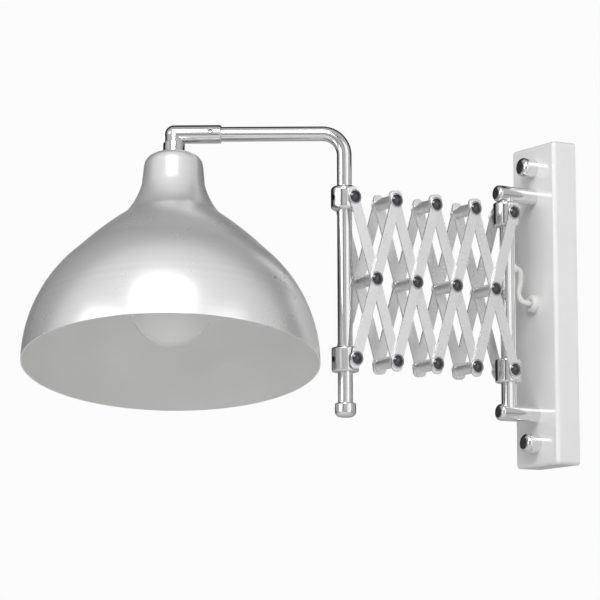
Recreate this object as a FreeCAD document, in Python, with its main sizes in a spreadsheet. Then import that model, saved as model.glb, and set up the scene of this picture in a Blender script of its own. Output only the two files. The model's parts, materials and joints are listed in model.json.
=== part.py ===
import FreeCAD, Part
import Sketcher
import math
import os

# Accordion wall lamp. Millimetres, +Z up, +Y into the wall, the arm reaches towards -Y.
# The origin is the centre of the wall plate's back.

# Every driving size: the cell's alias, its number and what it measures.
SIZES = [
    ("plate_margin", 19.0, "wall plate, length beyond the strap studs"),
    ("plate_width", 60.0, "wall plate, side to side"),
    ("plate_depth", 22.5, "wall plate, wall to front face"),
    ("plate_wall", 1.5, "wall plate, sheet thickness"),
    ("plate_round", 3.0, "wall plate, edge radius"),
    ("strap_margin", 10.0, "mounting strap, length beyond its studs"),
    ("strap_width", 24.0, "mounting strap, side to side"),
    ("strap_thickness", 2.0, "mounting strap, sheet thickness"),
    ("wall_screw_spacing", 120.0, "wall screw holes, centre to centre"),
    ("wall_screw_hole", 5.0, "wall screw holes, diameter"),
    ("stud_diameter", 5.0, "strap studs, diameter"),
    ("stud_grip", 9.5, "strap studs, length inside the cover nut"),
    ("hole_play", 0.2, "gap round a stud or a tenon in the plate"),
    ("nut_diameter", 16.0, "cover nuts, diameter"),
    ("nut_height", 13.0, "cover nuts, height"),
    ("nut_round", 3.5, "cover nuts, edge radius"),
    ("post_inset", 24.5, "posts, distance from the strap studs"),
    ("post_diameter", 14.0, "posts, diameter"),
    ("post_past_rod", 10.5, "posts, length beyond the rod's axis"),
    ("post_round", 3.0, "posts, edge radius"),
    ("tenon_diameter", 6.0, "posts' threaded tenons, diameter"),
    ("tenon_length", 9.0, "posts' threaded tenons, length behind the plate's front"),
    ("tenon_nut_flats", 10.0, "tenon nuts, across flats"),
    ("tenon_nut_height", 5.0, "tenon nuts, height"),
    ("rod_stand_off", 50.0, "wall rod's axis, distance from the wall"),
    ("rod_diameter", 12.0, "wall rod, pole and arm, tube diameter"),
    ("tube_wall", 1.5, "wall rod, pole and arm, wall thickness"),
    ("lead_diameter", 5.0, "lead, diameter"),
    ("lead_play", 0.1, "gap round the lead in its bushes"),
    ("lead_exit_height", 1.0, "cord bush, height above the plate's middle"),
    ("lead_inlet_height", 29.5, "inlet bush, height above the plate's middle"),
    ("grommet_diameter", 14.5, "cord bush, flange diameter"),
    ("grommet_height", 5.0, "cord bush, height on the plate"),
    ("grommet_neck", 10.0, "cord bush, neck diameter"),
    ("grommet_inside", 4.0, "cord bush, length behind the plate's front"),
    ("grommet_round", 1.8, "cord bush, edge radius"),
    ("grommet_flare", 0.8, "cord bush, how far its mouth opens"),
    ("inlet_neck", 6.4, "inlet bush, neck diameter"),
    ("inlet_flange", 8.0, "inlet bush, flange diameter"),
    ("inlet_stand", 1.5, "inlet bush, height on the rod"),
    ("block_height", 28.0, "terminal block, height"),
    ("block_width", 18.0, "terminal block, width"),
    ("block_depth", 10.0, "terminal block, depth"),
    ("block_well", 4.0, "terminal block, screw well diameter"),
    ("earth_height", 36.0, "earth screw, height above the plate's middle"),
    ("earth_diameter", 4.0, "earth screw, thread diameter"),
    ("earth_head", 8.0, "earth screw, head diameter"),
    ("earth_head_height", 3.0, "earth screw, head height"),
    ("bar_half_span", 68.3, "lattice bars, middle pivot to end pivot"),
    ("slide_room", 17.7, "lower wall collar, room to slide down to the post"),
    ("bar_past_pivot", 8.5, "lattice bars, length beyond the end pivots"),
    ("bar_width", 9.0, "lattice bars, width"),
    ("bar_thickness", 1.5, "lattice bars, thickness"),
    ("bar_gap", 0.2, "gap between the two layers of bars"),
    ("rest_lean", 16.46, "lattice bars, lean from upright at rest, degrees"),
    ("fit", 0.05, "radial play of a turning fit"),
    ("open_fit", 0.3, "radial play where the linkage closes on itself"),
    ("rivet_diameter", 4.0, "rivets and pivot screws, shank diameter"),
    ("rivet_head", 10.0, "rivets and pivot screws, head diameter"),
    ("rivet_rise", 2.5, "rivets and pivot screws, height of the domed head"),
    ("spacer_diameter", 10.0, "spacer tubes, diameter"),
    ("collar_diameter", 22.0, "collars, diameter"),
    ("collar_length", 20.0, "collars, length"),
    ("collar_gap", 0.3, "gap beside a collar"),
    ("pivot_offset", 2.0, "collars, pivot holes off the bore's axis towards the lattice"),
    ("pivot_tip", 7.0, "pivot screws, tip's distance from the bore's axis"),
    ("shoulder_diameter", 7.0, "pivot screws of the outer bars, shoulder diameter"),
    ("soft_round", 3.75, "upper lamp collar, edge radius"),
    ("crisp_round", 1.75, "other collars, edge radius"),
    ("grub_diameter", 5.0, "set screws, diameter"),
    ("grub_proud", 0.2, "set screws, height over the surface"),
    ("grub_socket", 2.5, "set screws, hexagon socket across flats"),
    ("grub_socket_depth", 2.0, "set screws, socket depth"),
    ("arm_rise", 53.3, "arm's level run above the upper pivots"),
    ("pole_drop", 173.2, "pole's lower end below the upper pivots"),
    ("bend_radius", 17.7, "arm's bend, centre line radius"),
    ("arm_reach", 137.6, "arm, pole axis to shade axis"),
    ("arm_end_gap", 8.0, "arm, tube end short of the shade axis"),
    ("cap_diameter", 17.0, "end cap, diameter"),
    ("cap_height", 11.5, "end cap, height"),
    ("cap_round", 4.5, "end cap, bottom edge radius"),
    ("cap_lip_round", 1.5, "end cap, top edge radius"),
    ("cap_depth", 7.5, "end cap, depth of its bore"),
    ("swivel", 31.6, "arm, turned towards the rear at rest, degrees"),
    ("tilt", 12.4, "shade, tilted towards the front at rest, degrees"),
    ("elbow_diameter", 15.0, "elbow, diameter"),
    ("elbow_foot", 14.6, "elbow, foot diameter"),
    ("elbow_foot_drop", 8.1, "elbow, foot's end below the arm's axis"),
    ("elbow_length", 38.3, "elbow, shade axis to sleeve end"),
    ("elbow_round", 1.2, "elbow, sleeve edge radius"),
    ("elbow_bore_end", 5.5, "elbow, sleeve bore's end, distance from the shade axis"),
    ("elbow_screw", 29.4, "elbow set screw, distance from the shade axis"),
    ("coupling_diameter", 17.6, "coupling ring, diameter"),
    ("coupling_height", 12.0, "coupling ring, height"),
    ("coupling_round", 0.8, "coupling ring, edge radius"),
    ("nipple_diameter", 10.0, "threaded nipple, diameter"),
    ("nipple_bore", 7.0, "threaded nipple, bore"),
    ("nipple_top", 3.0, "threaded nipple, top below the arm's axis"),
    ("lock_nut_flats", 14.0, "lock nut, across flats"),
    ("lock_nut_height", 4.0, "lock nut, height"),
    ("shade_height", 176.5, "shade, neck top to rim"),
    ("shade_sheet", 1.0, "shade, sheet thickness"),
    ("neck_radius", 24.0, "shade, neck radius under the shoulder"),
    ("neck_round", 9.0, "shade, shoulder radius"),
    ("flare_start", 25.0, "shade, start of the flare below the neck top"),
    ("flare_start_radius", 25.5, "shade, radius where the flare starts"),
    ("flare_curve", 70.0, "shade, radius of the hollow flare"),
    ("crease_depth", 54.0, "shade, crease below the neck top"),
    ("crease_radius", 40.5, "shade, radius at the crease"),
    ("cone_curve", 320.0, "shade, radius of the slope's swell"),
    ("dome_curve", 117.0, "shade, radius of the dome"),
    ("dome_turn", 47.5, "shade, part of a turn that the dome makes, degrees"),
    ("rim_radius", 118.0, "shade, rim radius"),
    ("socket_top", 9.9, "lamp socket, top below the shade's neck top"),
    ("socket_radius", 20.0, "lamp socket, radius"),
    ("socket_cap_height", 26.0, "lamp socket cap, height"),
    ("socket_cap_wall", 1.5, "lamp socket cap, wall"),
    ("socket_length", 54.0, "lamp socket, length"),
    ("socket_throat", 13.6, "lamp socket, radius of the thread"),
    ("socket_floor", 12.0, "lamp socket, thread's end below the socket top"),
    ("bulb_cap_radius", 13.2, "bulb's screw cap, radius"),
    ("bulb_cap_length", 25.0, "bulb's screw cap, length"),
    ("bulb_contact_radius", 5.0, "bulb's foot contact, radius"),
    ("bulb_contact_height", 3.0, "bulb's foot contact, height"),
    ("bulb_neck_radius", 12.6, "bulb, radius of the glass neck"),
    ("bulb_depth", 127.0, "bulb, centre of the ball below the shade's neck top"),
    ("bulb_radius", 33.0, "bulb, radius of the ball"),
    ("bulb_sweep", 60.0, "bulb, radius between neck and ball"),
    ("bulb_glass_wall", 0.8, "bulb, glass thickness"),
]

# Hand-chosen route of the lead from the terminal block to the inside of the wall rod.
LEAD_ROUTE = [
    (0.0, -12.0, 1.0),
    (0.0, -26.5, 1.0),
    (-1.8, -35.0, 2.2),
    (-3.6, -37.0, 9.0),
    (-2.6, -34.8, 19.0),
    (0.0, -36.6, 29.5),
    (0.0, -47.5, 29.5),
]

CROSSES = 4
X = FreeCAD.Vector(1, 0, 0)
Y = FreeCAD.Vector(0, 1, 0)
Z = FreeCAD.Vector(0, 0, 1)
UPRIGHT = FreeCAD.Rotation()
OUTWARD = FreeCAD.Rotation(X, 90)
TO_WALL = FreeCAD.Rotation(X, -90)
SIDEWAYS = FreeCAD.Rotation(Y, 90)

doc = FreeCAD.newDocument("AccordionWallLamp")
sheet = doc.addObject("Spreadsheet::Sheet", "Sizes")
for row, (alias, number, meaning) in enumerate(SIZES, start=1):
    sheet.set(f"A{row}", meaning)
    sheet.set(f"B{row}", str(number))
    sheet.setAlias(f"B{row}", alias)
doc.recompute()

ALIASES = {alias for alias, number, meaning in SIZES}
pieces = []


def size(expression):
    """The value of an alias, or of a sum of aliases, in the sheet."""
    return float(sheet.evalExpression(in_sheet(expression)))


def in_sheet(expression):
    """The expression with each alias written as a cell of the sheet."""
    words = []
    word = ""
    for letter in str(expression) + " ":
        if letter.isalnum() or letter in "_.":
            word += letter
            continue
        words.append(f"Sizes.{word}" if word in ALIASES else word)
        words.append(letter)
        word = ""
    return "".join(words).strip()


def bind(item, **sizes):
    """Tie properties of an object to the sheet."""
    for name, expression in sizes.items():
        item.setExpression(name, in_sheet(expression))


def at(x=0.0, y=0.0, z=0.0, turn=UPRIGHT):
    """A placement."""
    return FreeCAD.Placement(FreeCAD.Vector(x, y, z), turn)


def piece(item, label, place=None):
    """Name a finished sub-part and put it in its place."""
    item.Label = label
    if place is not None:
        item.Placement = place.multiply(item.Placement)
    pieces.append(item)
    return item


# ---------------------------------------------------------------- sketches

def new_sketch(body, role, name, height=0.0):
    """An empty sketch on one of the body's own planes, or that far in front of it."""
    plane = next(item for item in body.Origin.OriginFeatures if item.Role == role)
    sketch = body.newObject("Sketcher::SketchObject", name)
    sketch.AttachmentSupport = [(plane, "")]
    sketch.MapMode = "FlatFace"
    sketch.AttachmentOffset = at(z=height)
    return sketch


def name_constraint(sketch, index, name, expression):
    """Name a constraint and tie it to the sheet."""
    sketch.renameConstraint(index, name)
    sketch.setExpression(f"Constraints.{name}", in_sheet(expression))


def hold_point(sketch, edge, end, name, across, up):
    """Fix a sketch point at two distances from the sketch's origin."""
    axes = (("DistanceX", "across", across, -2), ("DistanceY", "up", up, -1))
    for kind, word, expression, axis in axes:
        amount = size(expression)
        if abs(amount) < 1e-9:
            sketch.addConstraint(Sketcher.Constraint("PointOnObject", edge, end, axis))
            continue
        ends = (-1, 1, edge, end) if amount > 0 else (edge, end, -1, 1)
        index = sketch.addConstraint(Sketcher.Constraint(kind, *ends, abs(amount)))
        signed = expression if amount > 0 else f"-({expression})"
        name_constraint(sketch, index, f"{name}_{word}", signed)


def arc_between(start, end, radius, side):
    """The short arc from start to end with its centre on the named side of the way."""
    chord = end - start
    across = FreeCAD.Vector(-chord.y, chord.x, 0).normalize()
    if side == "right":
        across = -across
    centre = (start + end) * 0.5 + across * math.sqrt(radius ** 2 - chord.Length ** 2 / 4)
    turns = [math.atan2(point.y - centre.y, point.x - centre.x) for point in (start, end)]
    if side == "right":
        turns.reverse()
    return Part.ArcOfCircle(Part.Circle(centre, Z, radius), *turns)


def add_outline(sketch, corners, closed=True):
    """Lines and arcs from corner to corner.

    A corner is (across, up), and (across, up, radius, side) where an arc leaves it.
    """
    points = [FreeCAD.Vector(size(corner[0]), size(corner[1]), 0) for corner in corners]
    count = len(corners) if closed else len(corners) - 1
    edges = []
    for index in range(count):
        start = points[index]
        end = points[(index + 1) % len(points)]
        if len(corners[index]) == 2:
            edge = sketch.addGeometry(Part.LineSegment(start, end))
            edges.append((edge, 1, 2))
            continue
        radius, side = corners[index][2:]
        edge = sketch.addGeometry(arc_between(start, end, size(radius), side))
        edges.append((edge, 1, 2) if side == "left" else (edge, 2, 1))
        curve = sketch.addConstraint(Sketcher.Constraint("Radius", edge, size(radius)))
        name_constraint(sketch, curve, f"curve_{index}", radius)
    for index, (edge, first, last) in enumerate(edges):
        hold_point(sketch, edge, first, f"corner_{index}", *corners[index][:2])
        if index + 1 < count or closed:
            after, after_first, after_last = edges[(index + 1) % count]
            sketch.addConstraint(Sketcher.Constraint("Coincident", edge, last, after, after_first))
        else:
            hold_point(sketch, edge, last, f"corner_{index + 1}", *corners[-1][:2])


def add_circle(sketch, name, radius, across="0", up="0"):
    """A circle, which cuts a hole where it lies inside an outline."""
    centre = FreeCAD.Vector(size(across), size(up), 0)
    edge = sketch.addGeometry(Part.Circle(centre, Z, size(radius)))
    curve = sketch.addConstraint(Sketcher.Constraint("Radius", edge, size(radius)))
    name_constraint(sketch, curve, f"{name}_radius", radius)
    hold_point(sketch, edge, 3, name, across, up)


def rectangle(width, height):
    """The corners of a rectangle round the origin."""
    return [(f"-{width} / 2", f"-{height} / 2"), (f"{width} / 2", f"-{height} / 2"),
            (f"{width} / 2", f"{height} / 2"), (f"-{width} / 2", f"{height} / 2")]


# ---------------------------------------------------------------- ways of making a shape

def new_body(name):
    """An empty body."""
    return doc.addObject("PartDesign::Body", name)


def turned(name, corners):
    """A body turned about Z from an outline of (radius, height) corners."""
    body = new_body(name)
    sketch = new_sketch(body, "XZ_Plane", f"{name}_outline")
    add_outline(sketch, corners)
    turn = body.newObject("PartDesign::Revolution", f"{name}_turn")
    turn.Profile = sketch
    turn.ReferenceAxis = (sketch, ["V_Axis"])
    turn.Angle = 360.0
    doc.recompute()
    return body


def pad(body, sketch, length):
    """Raise a sketch of the body."""
    raised = body.newObject("PartDesign::Pad", f"{body.Name}_pad")
    raised.Profile = sketch
    bind(raised, Length=length)
    doc.recompute()
    return raised


def pierce(body, sketch, depth=None):
    """Cut a sketch into the body, towards the sketch's front: to a depth or right through."""
    before = body.Shape.Volume
    pocket = body.newObject("PartDesign::Pocket", f"{sketch.Name}_cut")
    pocket.Profile = sketch
    pocket.Reversed = True
    if depth is None:
        pocket.Type = "ThroughAll"
    else:
        bind(pocket, Length=depth)
    doc.recompute()
    if not body.Shape.Volume < before:
        raise ValueError(f"{sketch.Name}: the sketch cuts nothing")


def leaning(vector, turn):
    """A sketch vector turned by an angle."""
    return FreeCAD.Rotation(Z, math.degrees(turn)).multVec(vector)


def with_wall(corners, wall):
    """The closed outline of a wall: open corners, and the same again that far to their left."""
    points = [FreeCAD.Vector(size(corner[0]), size(corner[1]), 0) for corner in corners]
    headings = []
    for index, (start, end) in enumerate(zip(points, points[1:])):
        chord = end - start
        bend = 0.0
        if len(corners[index]) == 4:
            bend = math.asin(chord.Length / 2 / size(corners[index][2]))
            bend = bend if corners[index][3] == "left" else -bend
        headings.append((leaning(chord, -bend).normalize(), leaning(chord, bend).normalize()))
    outline = list(corners)
    for index in range(len(corners) - 1, -1, -1):
        arrive = headings[index - 1][1] if index > 0 else headings[0][0]
        leave = headings[index][0] if index < len(headings) else headings[-1][1]
        middle = (arrive + leave).normalize()
        shift = leaning(middle, math.pi / 2) / middle.dot(arrive)
        across, up = corners[index][:2]
        corner = (f"{across} + {shift.x:.5f} * {wall}", f"{up} + {shift.y:.5f} * {wall}")
        if index > 0 and len(corners[index - 1]) == 4:
            radius, side = corners[index - 1][2:]
            if side == "left":
                corner += (f"{radius} - {wall}", "right")
            else:
                corner += (f"{radius} + {wall}", "left")
        outline.append(corner)
    outline[len(corners) - 1] = tuple(corners[-1][:2])
    return outline


def cylinder(name, radius, length, place=None):
    """A cylinder that stands on its place."""
    item = doc.addObject("Part::Cylinder", name)
    bind(item, Radius=radius, Height=length)
    item.Placement = place or at()
    return item


def hexagon(name, flats, height, place=None):
    """A hexagonal prism, sized across its flats."""
    item = doc.addObject("Part::Prism", name)
    item.Polygon = 6
    bind(item, Circumradius=f"{flats} / 2 / cos(30)", Height=height)
    item.Placement = place or at()
    return item


def cut(name, base, tools):
    """Base with the tools cut away."""
    item = doc.addObject("Part::Cut", name)
    item.Base = base
    item.Tool = tools[0] if len(tools) == 1 else fuse(f"{name}_tools", tools)
    doc.recompute()
    if not item.Shape.Volume < base.Shape.Volume:
        raise ValueError(f"{name}: the tools cut nothing")
    return item


def fuse(name, items):
    """Items joined into one solid."""
    item = doc.addObject("Part::MultiFuse", name)
    item.Shapes = items
    doc.recompute()
    return item


def group(name, items):
    """Alike solids kept apart in one sub-part."""
    item = doc.addObject("Part::Compound", name)
    item.Links = items
    doc.recompute()
    return item


def ring(name, outer, inner, height, place=None):
    """A straight tube or washer."""
    body = turned(name, [(inner, "0"), (outer, "0"), (outer, height), (inner, height)])
    body.Placement = place or at()
    return body


# ---------------------------------------------------------------- places that pieces share

# Heights of the posts and the studs from the plate's middle. The lattice and the lower collar's
# slide fit between the posts, and the plate reaches past the studs.
LATTICE_RISE = "2 * bar_half_span * cos(rest_lean)"
POST_RISE = f"(({LATTICE_RISE} + collar_length + collar_gap + post_diameter + slide_room) / 2)"
STUD_RISE = f"({POST_RISE} + post_inset)"
PLATE_HEIGHT = f"(2 * ({STUD_RISE} + plate_margin))"

lean = math.radians(size("rest_lean"))
pitch = 2 * size("bar_half_span") * math.sin(lean)
half_rise = size("bar_half_span") * math.cos(lean)
rod_y = -size("rod_stand_off")
wall_pivot_y = rod_y - size("pivot_offset")
lamp_pivot_y = wall_pivot_y - CROSSES * pitch
pole_y = lamp_pivot_y - size("pivot_offset")
upper_z = size(f"{POST_RISE} - post_diameter / 2 - collar_gap - collar_length / 2")
middle_z = upper_z - half_rise
lower_z = upper_z - 2 * half_rise
level_z = upper_z + size("arm_rise")

# Faces of the bars, seen from the lattice's middle plane outwards.
INNER_FACE = "collar_diameter / 2 + collar_gap"
OUTER_FACE = f"{INNER_FACE} + bar_thickness + bar_gap"
HEAD_FACE = f"{OUTER_FACE} + bar_thickness + bar_gap / 2"

arm_place = at(y=pole_y, turn=FreeCAD.Rotation(Z, -size("swivel")))
head_place = arm_place.multiply(at(y=-size("arm_reach"), z=level_z, turn=FreeCAD.Rotation(Y, -size("tilt"))))
shade_place = head_place.multiply(at(z=-size("elbow_foot_drop + coupling_height")))


# ---------------------------------------------------------------- what stays on the wall

def make_wall_plate():
    """The plate: a box shell, open towards the wall, with rounded edges."""
    body = new_body("wall_plate")
    outline = new_sketch(body, "XZ_Plane", "plate_outline")
    add_outline(outline, rectangle("plate_width", PLATE_HEIGHT))
    block = pad(body, outline, "plate_depth")
    edges = []
    for index, edge in enumerate(block.Shape.Edges, start=1):
        if edge.BoundBox.YMin < -1e-4:
            edges.append(f"Edge{index}")
    rounding = body.newObject("PartDesign::Fillet", "plate_rounding")
    rounding.Base = (block, edges)
    bind(rounding, Radius="plate_round")
    doc.recompute()
    inside = new_sketch(body, "XZ_Plane", "plate_inside")
    add_outline(inside, rectangle("(plate_width - 2 * plate_wall)", f"({PLATE_HEIGHT} - 2 * plate_wall)"))
    pierce(body, inside, "plate_depth - plate_wall")
    holes = new_sketch(body, "XZ_Plane", "plate_holes")
    for name, sign in (("upper", ""), ("lower", "-")):
        add_circle(holes, f"{name}_stud", "stud_diameter / 2 + hole_play", up=f"{sign}{STUD_RISE}")
        add_circle(holes, f"{name}_tenon", "tenon_diameter / 2 + hole_play", up=f"{sign}{POST_RISE}")
    add_circle(holes, "cord", "grommet_neck / 2", up="lead_exit_height")
    pierce(body, holes)
    piece(body, "wall_plate")


def make_mounting_strap():
    """The flat strap that is screwed to the wall behind the plate."""
    body = new_body("mounting_strap")
    outline = new_sketch(body, "XZ_Plane", "strap_outline")
    add_outline(outline, rectangle("strap_width", f"(2 * ({STUD_RISE} + strap_margin))"))
    for name, sign in (("upper", ""), ("lower", "-")):
        add_circle(outline, f"{name}_stud", "stud_diameter / 2", up=f"{sign}{STUD_RISE}")
        add_circle(outline, f"{name}_screw", "wall_screw_hole / 2", up=f"{sign}wall_screw_spacing / 2")
    add_circle(outline, "earth", "earth_diameter / 2", up="earth_height")
    pad(body, outline, "strap_thickness")
    piece(body, "mounting_strap")


def make_strap_studs():
    """Two studs that are riveted into the strap and reach through the plate."""
    length = "plate_depth + stud_grip"
    studs = []
    for name, sign in (("upper", 1), ("lower", -1)):
        place = at(z=sign * size(STUD_RISE), turn=OUTWARD)
        studs.append(cylinder(f"{name}_stud", "stud_diameter / 2", length, place))
    piece(group("strap_studs", studs), "strap_studs")


def make_cover_nuts():
    """Two round cap nuts that hold the plate on the studs."""
    nuts = []
    for name, sign in (("upper", 1), ("lower", -1)):
        nut = turned(f"{name}_cover_nut", [
            ("stud_diameter / 2", "0"),
            ("nut_diameter / 2", "0"),
            ("nut_diameter / 2", "nut_height - nut_round", "nut_round", "left"),
            ("nut_diameter / 2 - nut_round", "nut_height"),
            ("0", "nut_height"),
            ("0", "stud_grip"),
            ("stud_diameter / 2", "stud_grip"),
        ])
        nut.Placement = at(y=-size("plate_depth"), z=sign * size(STUD_RISE), turn=OUTWARD)
        nuts.append(nut)
    piece(group("cover_nuts", nuts), "cover_nuts")


def make_post(name, sign):
    """A round bar out of the plate, with a threaded tenon and a seat for the rod's end."""
    reach = "rod_stand_off - plate_depth + post_past_rod"
    bar = turned(f"{name}_blank", [
        ("0", "-tenon_length"),
        ("tenon_diameter / 2", "-tenon_length"),
        ("tenon_diameter / 2", "0"),
        ("post_diameter / 2", "0"),
        ("post_diameter / 2", f"{reach} - post_round", "post_round", "left"),
        ("post_diameter / 2 - post_round", reach),
        ("0", reach),
    ])
    bar.Placement = at(y=-size("plate_depth"), z=sign * size(POST_RISE), turn=OUTWARD)
    foot = min(0, sign * size(POST_RISE))
    seat = cylinder(f"{name}_seat", "rod_diameter / 2", POST_RISE, at(y=rod_y, z=foot))
    piece(cut(f"{name}_cut", bar, [seat]), name)


def make_post_nuts():
    """The nuts on the tenons, inside the plate."""
    nuts = []
    for name, sign in (("upper", 1), ("lower", -1)):
        place = at(y=-size("plate_depth - plate_wall"), z=sign * size(POST_RISE), turn=TO_WALL)
        block = hexagon(f"{name}_tenon_nut_block", "tenon_nut_flats", "tenon_nut_height", place)
        bore = cylinder(f"{name}_tenon_nut_bore", "tenon_diameter / 2", "tenon_nut_height", place)
        nuts.append(cut(f"{name}_tenon_nut", block, [bore]))
    piece(group("post_nuts", nuts), "post_nuts")


def make_wall_rod():
    """The upright tube between the posts, with a side hole for the lead."""
    tube = ring("rod_tube", "rod_diameter / 2", "rod_diameter / 2 - tube_wall", f"2 * {POST_RISE}",
                at(y=rod_y, z=-size(POST_RISE)))
    hole = cylinder("rod_inlet", "inlet_neck / 2", "rod_diameter",
                    at(y=rod_y, z=size("lead_inlet_height"), turn=TO_WALL))
    piece(cut("rod_cut", tube, [hole]), "wall_rod")


def make_cord_grommet():
    """The bush in the plate that the lead comes out of."""
    bore = "lead_diameter / 2 + lead_play"
    body = turned("cord_grommet", [
        (bore, "-grommet_inside"),
        ("grommet_neck / 2", "-grommet_inside"),
        ("grommet_neck / 2", "0"),
        ("grommet_diameter / 2", "0"),
        ("grommet_diameter / 2", "grommet_height - grommet_round", "grommet_round", "left"),
        ("grommet_diameter / 2 - grommet_round", "grommet_height"),
        (f"{bore} + grommet_flare", "grommet_height"),
        (bore, "0"),
    ])
    piece(body, "cord_grommet", at(y=-size("plate_depth"), z=size("lead_exit_height"), turn=OUTWARD))


def make_inlet_bush():
    """The small bush where the lead enters the rod."""
    inside = "rod_diameter / 2 - tube_wall"
    top = "rod_diameter / 2 + inlet_stand"
    place = at(y=rod_y, z=size("lead_inlet_height"), turn=TO_WALL)
    neck = cylinder("inlet_neck_blank", "inlet_neck / 2", top, place)
    flange = cylinder("inlet_flange_blank", "inlet_flange / 2", top, place)
    around = cylinder("inlet_rod_space", "rod_diameter / 2", "inlet_flange * 2",
                      at(y=rod_y, z=size("lead_inlet_height - inlet_flange")))
    core = cylinder("inlet_rod_core", inside, "inlet_flange * 2",
                    at(y=rod_y, z=size("lead_inlet_height - inlet_flange")))
    bore = cylinder("inlet_bore", "lead_diameter / 2 + lead_play", top, place)
    rim = cut("inlet_rim", flange, [around])
    blank = fuse("inlet_blank", [rim, neck])
    piece(cut("inlet_cut", blank, [core, bore]), "inlet_bush")


def make_terminal_block():
    """The terminal block on the strap, with four screw wells."""
    box = doc.addObject("Part::Box", "block_blank")
    bind(box, Length="block_width", Width="block_depth", Height="block_height")
    front = -size("strap_thickness + block_depth")
    box.Placement = at(-size("block_width") / 2, front, size("lead_exit_height - block_height / 2"))
    wells = []
    for side in (-1, 1):
        for sign in (-1, 1):
            place = at(side * size("block_width") / 4, front,
                       size("lead_exit_height") + sign * size("block_height") / 3, TO_WALL)
            wells.append(cylinder(f"block_well_{side}_{sign}".replace("-", "m"),
                                  "block_well / 2", "block_depth / 3", place))
    piece(cut("block_cut", box, wells), "terminal_block")


def make_earth_screw():
    """The earth screw in the strap."""
    body = turned("earth_screw", [
        ("0", "-strap_thickness"),
        ("earth_diameter / 2", "-strap_thickness"),
        ("earth_diameter / 2", "0"),
        ("earth_head / 2", "0"),
        ("earth_head / 2", "earth_head_height"),
        ("0", "earth_head_height"),
    ])
    piece(body, "earth_screw", at(y=-size("strap_thickness"), z=size("earth_height"), turn=OUTWARD))


def smooth_route(points):
    """Straight runs joined by tangent arcs, and the arcs' radii."""
    edges = []
    radii = []
    start = points[0]
    for before, corner, after in zip(points, points[1:], points[2:]):
        come = corner - before
        go = after - corner
        turn = come.getAngle(go)
        trim = 0.45 * min(come.Length, go.Length)
        radii.append(trim / math.tan(turn / 2))
        come.normalize()
        go.normalize()
        first = corner - come * trim
        last = corner + go * trim
        inward = (go - come).normalize()
        gap = trim / math.sin(turn / 2) * (1 / math.cos(turn / 2) - 1) * math.cos(turn / 2)
        middle = corner + inward * gap
        edges.append(Part.LineSegment(start, first).toShape())
        edges.append(Part.Arc(first, middle, last).toShape())
        start = last
    edges.append(Part.LineSegment(start, points[-1]).toShape())
    return Part.Wire(edges), radii


def make_lead():
    """The captive lead between the terminal block and the wall rod."""
    points = [FreeCAD.Vector(*point) for point in LEAD_ROUTE]
    path, radii = smooth_route(points)
    print("lead: arc radii", [round(radius, 1) for radius in radii], "length", round(path.Length, 1))
    section = Part.Wire(Part.Circle(points[0], points[1] - points[0], size("lead_diameter / 2")).toShape())
    shape = path.makePipeShell([section], True, False)
    expected = math.pi * size("lead_diameter / 2") ** 2 * path.Length
    if abs(shape.Volume / expected - 1) > 0.01:
        raise ValueError("lead: the tube's volume is not its section times its length")
    item = doc.addObject("Part::Feature", "lead")
    item.Shape = shape
    piece(item, "lead", at())


# ---------------------------------------------------------------- collars and their screws

def make_grub_screw(name, length):
    """A headless set screw along Z with a hexagon socket in its top."""
    blank = cylinder(f"{name}_blank", "grub_diameter / 2", length)
    socket = hexagon(f"{name}_socket", "grub_socket", "grub_socket_depth",
                     at(z=size(f"{length} - grub_socket_depth")))
    return cut(f"{name}_cut", blank, [socket])


def make_collar(name, towards, rounding, place, has_grub=False):
    """A collar round a tube; its pivot holes lie off its axis, towards the lattice."""
    bore = "rod_diameter / 2 + fit"
    outer = "collar_diameter / 2"
    half = "collar_length / 2"
    blank = turned(f"{name}_blank", [
        (bore, f"-{half}"),
        (f"{outer} - {rounding}", f"-{half}", rounding, "left"),
        (outer, f"{rounding} - {half}"),
        (outer, f"{half} - {rounding}", rounding, "left"),
        (f"{outer} - {rounding}", half),
        (bore, half),
    ])
    blank.Placement = at(turn=FreeCAD.Rotation(Z, 45))
    tools = []
    for side in (-1, 1):
        turn = FreeCAD.Rotation(Y, 90 * side)
        spot = at(side * size("pivot_tip"), towards * size("pivot_offset"), 0, turn)
        tools.append(cylinder(f"{name}_pivot_{'rear' if side < 0 else 'front'}",
                              "rivet_diameter / 2", "collar_diameter / 2", spot))
    if has_grub:
        tools.append(cylinder(f"{name}_grub_hole", "grub_diameter / 2", "collar_diameter", at(turn=OUTWARD)))
    piece(cut(f"{name}_cut", blank, tools), name, place)
    if has_grub:
        grub = make_grub_screw(f"{name}_grub", "collar_diameter / 2 - rod_diameter / 2 - fit + grub_proud")
        seat = at(y=-size("rod_diameter / 2 + fit"), turn=OUTWARD)
        piece(grub, f"{name}_set_screw", place.multiply(seat))


def screw_pair(name, under_head, shoulder):
    """Two pivot screws that face each other through the lattice, heads outwards."""
    dome = "(rivet_head * rivet_head / 4 + rivet_rise * rivet_rise) / 2 / rivet_rise"
    step = "collar_diameter / 2 + collar_gap / 2"
    shank = [("0", "pivot_tip"), ("rivet_diameter / 2", "pivot_tip")]
    if shoulder:
        seat = f"{under_head} - bar_thickness - bar_gap"
        shank += [("rivet_diameter / 2", step), ("shoulder_diameter / 2", step),
                  ("shoulder_diameter / 2", seat), ("rivet_diameter / 2", seat)]
    shank += [("rivet_diameter / 2", under_head), ("rivet_head / 2", under_head, dome, "left"),
              ("0", f"{under_head} + rivet_rise")]
    screws = []
    for side, word in ((-1, "rear"), (1, "front")):
        screw = turned(f"{name}_{word}", shank)
        screw.Placement = at(turn=FreeCAD.Rotation(Y, 90 * side))
        screws.append(screw)
    return group(f"{name}_pair", screws)


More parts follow.
